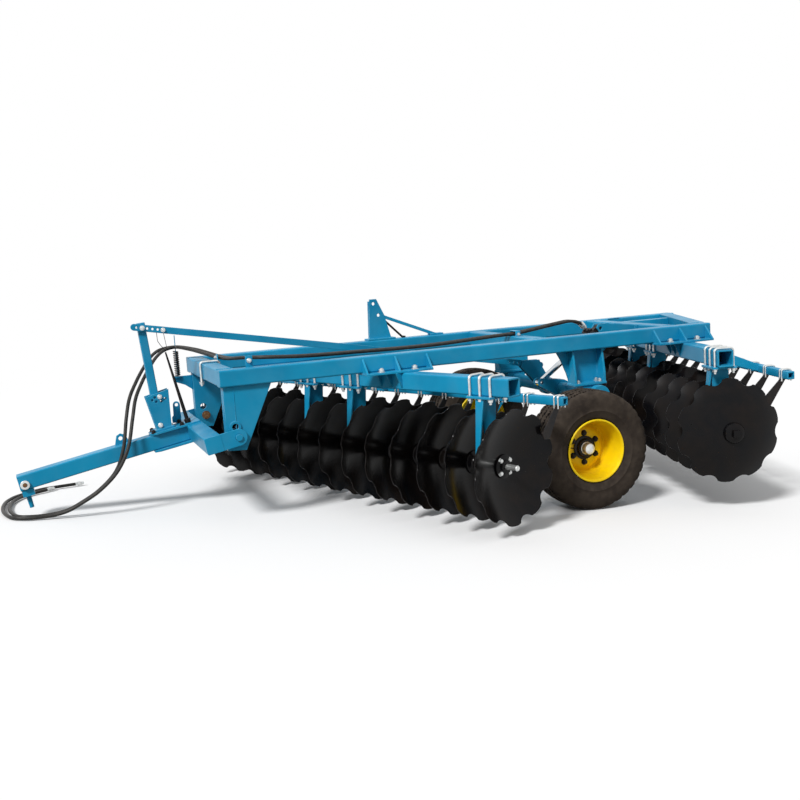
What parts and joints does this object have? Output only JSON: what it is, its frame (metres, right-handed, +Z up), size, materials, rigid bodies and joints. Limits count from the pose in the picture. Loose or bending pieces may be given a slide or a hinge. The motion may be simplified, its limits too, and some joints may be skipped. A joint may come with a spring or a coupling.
{
  "type": "trailed offset disc harrow",
  "caption": "Trailed offset disc harrow: two skewed gangs of notched dished discs under a ladder frame on two lifting wheels, with a hinged tongue and levelling bar.",
  "frame": {"origin": "middle of the bounding box at the floor, hoses left out", "axes": "+X towards the hitch, +Y to the machine's left, +Z up"},
  "size_m": [5.4233, 3.0474, 1.3089],
  "materials": {
    "blue_paint": "glossy",
    "black_disc_paint": "glossy",
    "yellow_wheel_paint": "glossy",
    "tyre_rubber": "matte",
    "spring_black": "satin",
    "chrome": "polished",
    "hose_rubber": "matte",
    "zinc": "satin"
  },
  "bodies": {
    "frame": {"rail_left": "blue_paint", "rail_right": "blue_paint", "crossbeam_front": "blue_paint", "crossbeam_middle": "blue_paint", "crossbeam_cylinder": "blue_paint", "crossbeam_rear": "blue_paint", "brace_rear": "blue_paint", "front_post_left": "blue_paint", "front_post_right": "blue_paint", "shaft_hanger_left": "blue_paint", "shaft_hanger_right": "blue_paint", "mast": "blue_paint", "gang_beam_front": "blue_paint", "bearing_leg_front_1": "blue_paint", "bearing_leg_front_2": "blue_paint", "bearing_leg_front_3": "blue_paint", "bearing_leg_front_4": "blue_paint", "scraper_bar_front": "blue_paint", "gang_beam_rear": "blue_paint", "bearing_leg_rear_1": "blue_paint", "bearing_leg_rear_2": "blue_paint", "bearing_leg_rear_3": "blue_paint", "bearing_leg_rear_4": "blue_paint", "scraper_bar_rear": "blue_paint", "flange_bracket_front_left": "blue_paint", "flange_bracket_front_right": "blue_paint", "flange_bracket_rear_left": "blue_paint", "flange_bracket_rear_right": "blue_paint", "cylinder_anchor": "blue_paint", "hose_stand": "blue_paint", "hose_spring": "spring_black", "hose_left": "hose_rubber", "hose_tip_left": "zinc", "hose_right": "hose_rubber", "hose_tip_right": "zinc"},
    "front_gang": {"disc_gang_front": "black_disc_paint"},
    "rear_gang": {"disc_gang_rear": "black_disc_paint"},
    "rockshaft": {"rockshaft": "blue_paint", "wheel_arm_left": "blue_paint", "wheel_arm_right": "blue_paint", "levelling_lever": "blue_paint", "lift_lever": "blue_paint"},
    "left_wheel": {"rim_left": "yellow_wheel_paint", "tyre_left": "tyre_rubber"},
    "right_wheel": {"rim_right": "yellow_wheel_paint", "tyre_right": "tyre_rubber"},
    "tongue": {"yoke": "blue_paint", "tongue_tube": "blue_paint", "hitch_pin": "blue_paint", "levelling_plates": "blue_paint", "levelling_strut": "blue_paint"},
    "levelling_bar": {"levelling_bar": "blue_paint"},
    "cylinder_barrel": {"cylinder_barrel": "spring_black"},
    "cylinder_rod": {"cylinder_rod": "chrome"}
  },
  "joints": [
    {"name": "front_gang_spin", "type": "hinge", "parent": "frame", "child": "front_gang", "pos_m": [0.55382, 0.11464, 0.3645], "axis": [-0.3575, 0.9336, 0.025], "continuous": true},
    {"name": "rear_gang_spin", "type": "hinge", "parent": "frame", "child": "rear_gang", "pos_m": [-1.89511, -0.10356, 0.53591], "axis": [0.275, 0.9613, -0.0192], "continuous": true},
    {"name": "rockshaft_lift", "type": "hinge", "parent": "frame", "child": "rockshaft", "pos_m": [-0.93134, -0.00702, 0.69401], "axis": [0, 1, 0], "range_deg": [-48, 26]},
    {"name": "left_wheel_spin", "type": "hinge", "parent": "rockshaft", "child": "left_wheel", "pos_m": [-0.7428, 0.83298, 0.38008], "axis": [0, 1, 0], "continuous": true},
    {"name": "right_wheel_spin", "type": "hinge", "parent": "rockshaft", "child": "right_wheel", "pos_m": [-0.7428, -0.84702, 0.38008], "axis": [0, 1, 0], "continuous": true},
    {"name": "tongue_level", "type": "hinge", "parent": "frame", "child": "tongue", "pos_m": [1.43886, -0.00702, 0.52811], "axis": [0, 1, 0], "range_deg": [-12.9, 7]},
    {"name": "levelling_bar_pivot", "type": "hinge", "parent": "tongue", "child": "levelling_bar", "pos_m": [1.90277, -0.00702, 1.14353], "axis": [0, 1, 0], "range_deg": [-6.4, 11.8]},
    {"name": "cylinder_pivot", "type": "hinge", "parent": "frame", "child": "cylinder_barrel", "pos_m": [-1.22811, 0.14298, 1.10874], "axis": [0, 1, 0], "range_deg": [-6.4, 3.6]},
    {"name": "cylinder_stroke", "type": "slide", "parent": "cylinder_barrel", "child": "cylinder_rod", "axis": [0.7767, 0, -0.6299], "range_m": [-0.126, 0.069]}
  ],
  "couplings": [
    {"joint": "tongue_level", "follows": "rockshaft_lift", "ratio": 0.267},
    {"joint": "levelling_bar_pivot", "follows": "rockshaft_lift", "ratio": -0.2445},
    {"joint": "cylinder_pivot", "follows": "rockshaft_lift", "ratio": 0.13},
    {"joint": "cylinder_stroke", "follows": "rockshaft_lift", "m_per_rad": 0.148}
  ]
}
